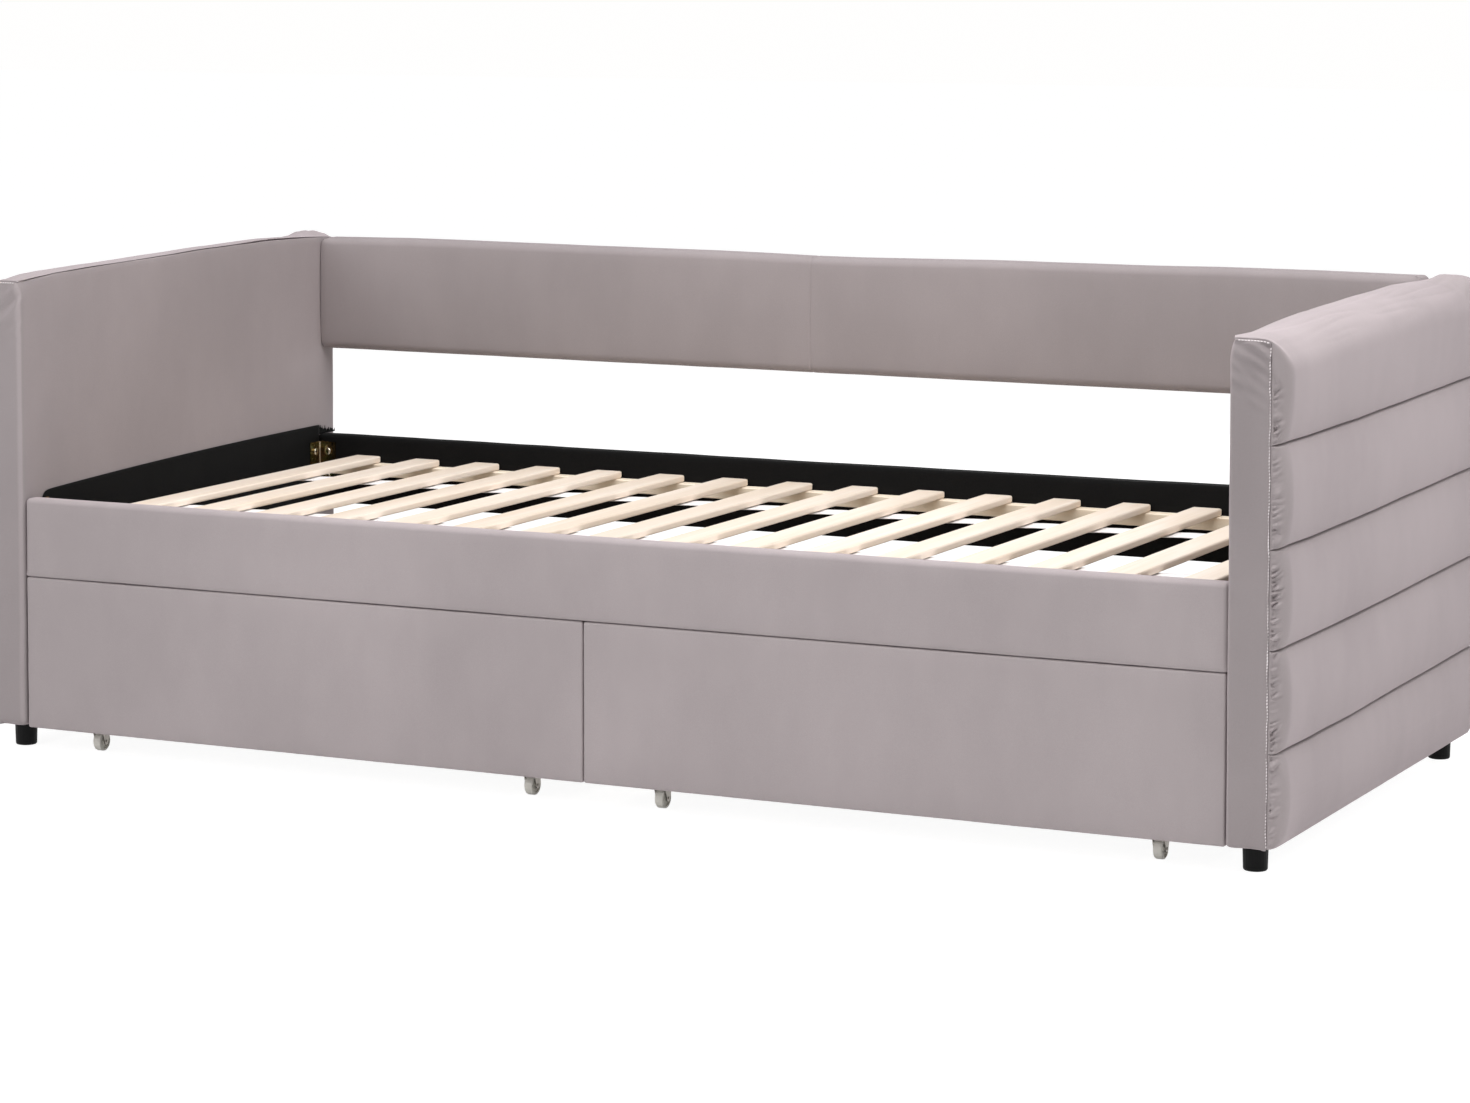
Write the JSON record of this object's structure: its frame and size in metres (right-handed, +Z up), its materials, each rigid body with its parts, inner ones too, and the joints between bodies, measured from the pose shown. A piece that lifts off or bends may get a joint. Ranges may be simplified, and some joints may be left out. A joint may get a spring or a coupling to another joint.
{
  "type": "storage daybed",
  "caption": "Upholstered daybed with channel-padded arms, a raised back bar, a slatted mattress well and roll-out drawers on castors underneath.",
  "frame": {"origin": "on the floor, under the middle of the whole daybed", "axes": "+X along the daybed to the sitter's left and the viewer's right, +Y from the front to the back, +Z up"},
  "size_m": [2.2046, 1, 0.781],
  "materials": {
    "velvet": "short-pile velvet",
    "lining_cloth": "matt non-woven cloth",
    "pine": "planed, unfinished",
    "webbing": "woven band",
    "zinc": "yellow zinc plating",
    "foot_plastic": "moulded, satin",
    "plywood": "sanded",
    "hardboard": "smooth",
    "fork_steel": "pressed, satin",
    "wheel_plastic": "moulded, satin"
  },
  "bodies": {
    "frame": {"arm_core_left": "velvet", "arm_pad_left": "velvet", "arm_core_right": "velvet", "arm_pad_right": "velvet", "back_panel": "velvet", "front_rail": "velvet", "rear_rail": "velvet", "rear_lining": "lining_cloth", "side_lining_left": "lining_cloth", "side_lining_right": "lining_cloth", "ledge_front": "pine", "ledge_rear": "pine", "slat_01": "pine", "slat_02": "pine", "slat_03": "pine", "slat_04": "pine", "slat_05": "pine", "slat_06": "pine", "slat_07": "pine", "slat_08": "pine", "slat_09": "pine", "slat_10": "pine", "slat_11": "pine", "slat_12": "pine", "slat_13": "pine", "slat_14": "pine", "slat_15": "pine", "slat_16": "pine", "webbing_front": "webbing", "webbing_rear": "webbing", "corner_bracket_front_left": "zinc", "corner_bracket_front_right": "zinc", "corner_bracket_rear_right": "zinc", "corner_bracket_rear_left": "zinc", "foot_front_left": "foot_plastic", "foot_front_right": "foot_plastic", "foot_rear_left": "foot_plastic", "foot_rear_right": "foot_plastic"},
    "drawer_left": {"drawer_front_left": "velvet", "drawer_box_left": "plywood", "drawer_bottom_left": "hardboard", "castor_fork_left_front_left": "fork_steel", "castor_fork_left_front_right": "fork_steel", "castor_fork_left_rear_left": "fork_steel", "castor_fork_left_rear_right": "fork_steel"},
    "drawer_right": {"drawer_front_right": "velvet", "drawer_box_right": "plywood", "drawer_bottom_right": "hardboard", "castor_fork_right_front_left": "fork_steel", "castor_fork_right_front_right": "fork_steel", "castor_fork_right_rear_left": "fork_steel", "castor_fork_right_rear_right": "fork_steel"},
    "castor_wheel_left_front_left": {"castor_wheel_left_front_left": "wheel_plastic"},
    "castor_wheel_left_front_right": {"castor_wheel_left_front_right": "wheel_plastic"},
    "castor_wheel_left_rear_left": {"castor_wheel_left_rear_left": "wheel_plastic"},
    "castor_wheel_left_rear_right": {"castor_wheel_left_rear_right": "wheel_plastic"},
    "castor_wheel_right_front_left": {"castor_wheel_right_front_left": "wheel_plastic"},
    "castor_wheel_right_front_right": {"castor_wheel_right_front_right": "wheel_plastic"},
    "castor_wheel_right_rear_left": {"castor_wheel_right_rear_left": "wheel_plastic"},
    "castor_wheel_right_rear_right": {"castor_wheel_right_rear_right": "wheel_plastic"}
  },
  "joints": [
    {"name": "drawer_left_roll_out", "type": "slide", "parent": "frame", "child": "drawer_left", "axis": [0, -1, 0], "range_m": [0, 0.6]},
    {"name": "drawer_right_roll_out", "type": "slide", "parent": "frame", "child": "drawer_right", "axis": [0, -1, 0], "range_m": [0, 0.6]},
    {"name": "wheel_left_front_left_spin", "type": "hinge", "parent": "drawer_left", "child": "castor_wheel_left_front_left", "pos_m": [-0.902, -0.446, 0.016], "axis": [1, 0, 0], "continuous": true},
    {"name": "wheel_left_front_right_spin", "type": "hinge", "parent": "drawer_left", "child": "castor_wheel_left_front_right", "pos_m": [-0.1115, -0.446, 0.016], "axis": [1, 0, 0], "continuous": true},
    {"name": "wheel_left_rear_left_spin", "type": "hinge", "parent": "drawer_left", "child": "castor_wheel_left_rear_left", "pos_m": [-0.902, 0.2563, 0.016], "axis": [1, 0, 0], "continuous": true},
    {"name": "wheel_left_rear_right_spin", "type": "hinge", "parent": "drawer_left", "child": "castor_wheel_left_rear_right", "pos_m": [-0.1115, 0.2563, 0.016], "axis": [1, 0, 0], "continuous": true},
    {"name": "wheel_right_front_left_spin", "type": "hinge", "parent": "drawer_right", "child": "castor_wheel_right_front_left", "pos_m": [0.1115, -0.446, 0.016], "axis": [1, 0, 0], "continuous": true},
    {"name": "wheel_right_front_right_spin", "type": "hinge", "parent": "drawer_right", "child": "castor_wheel_right_front_right", "pos_m": [0.902, -0.446, 0.016], "axis": [1, 0, 0], "continuous": true},
    {"name": "wheel_right_rear_left_spin", "type": "hinge", "parent": "drawer_right", "child": "castor_wheel_right_rear_left", "pos_m": [0.1115, 0.2563, 0.016], "axis": [1, 0, 0], "continuous": true},
    {"name": "wheel_right_rear_right_spin", "type": "hinge", "parent": "drawer_right", "child": "castor_wheel_right_rear_right", "pos_m": [0.902, 0.2563, 0.016], "axis": [1, 0, 0], "continuous": true}
  ],
  "couplings": [
    {"joint": "wheel_left_front_left_spin", "follows": "drawer_left_roll_out", "rad_per_m": 62.5},
    {"joint": "wheel_left_front_right_spin", "follows": "drawer_left_roll_out", "rad_per_m": 62.5},
    {"joint": "wheel_left_rear_left_spin", "follows": "drawer_left_roll_out", "rad_per_m": 62.5},
    {"joint": "wheel_left_rear_right_spin", "follows": "drawer_left_roll_out", "rad_per_m": 62.5},
    {"joint": "wheel_right_front_left_spin", "follows": "drawer_right_roll_out", "rad_per_m": 62.5},
    {"joint": "wheel_right_front_right_spin", "follows": "drawer_right_roll_out", "rad_per_m": 62.5},
    {"joint": "wheel_right_rear_left_spin", "follows": "drawer_right_roll_out", "rad_per_m": 62.5},
    {"joint": "wheel_right_rear_right_spin", "follows": "drawer_right_roll_out", "rad_per_m": 62.5}
  ]
}
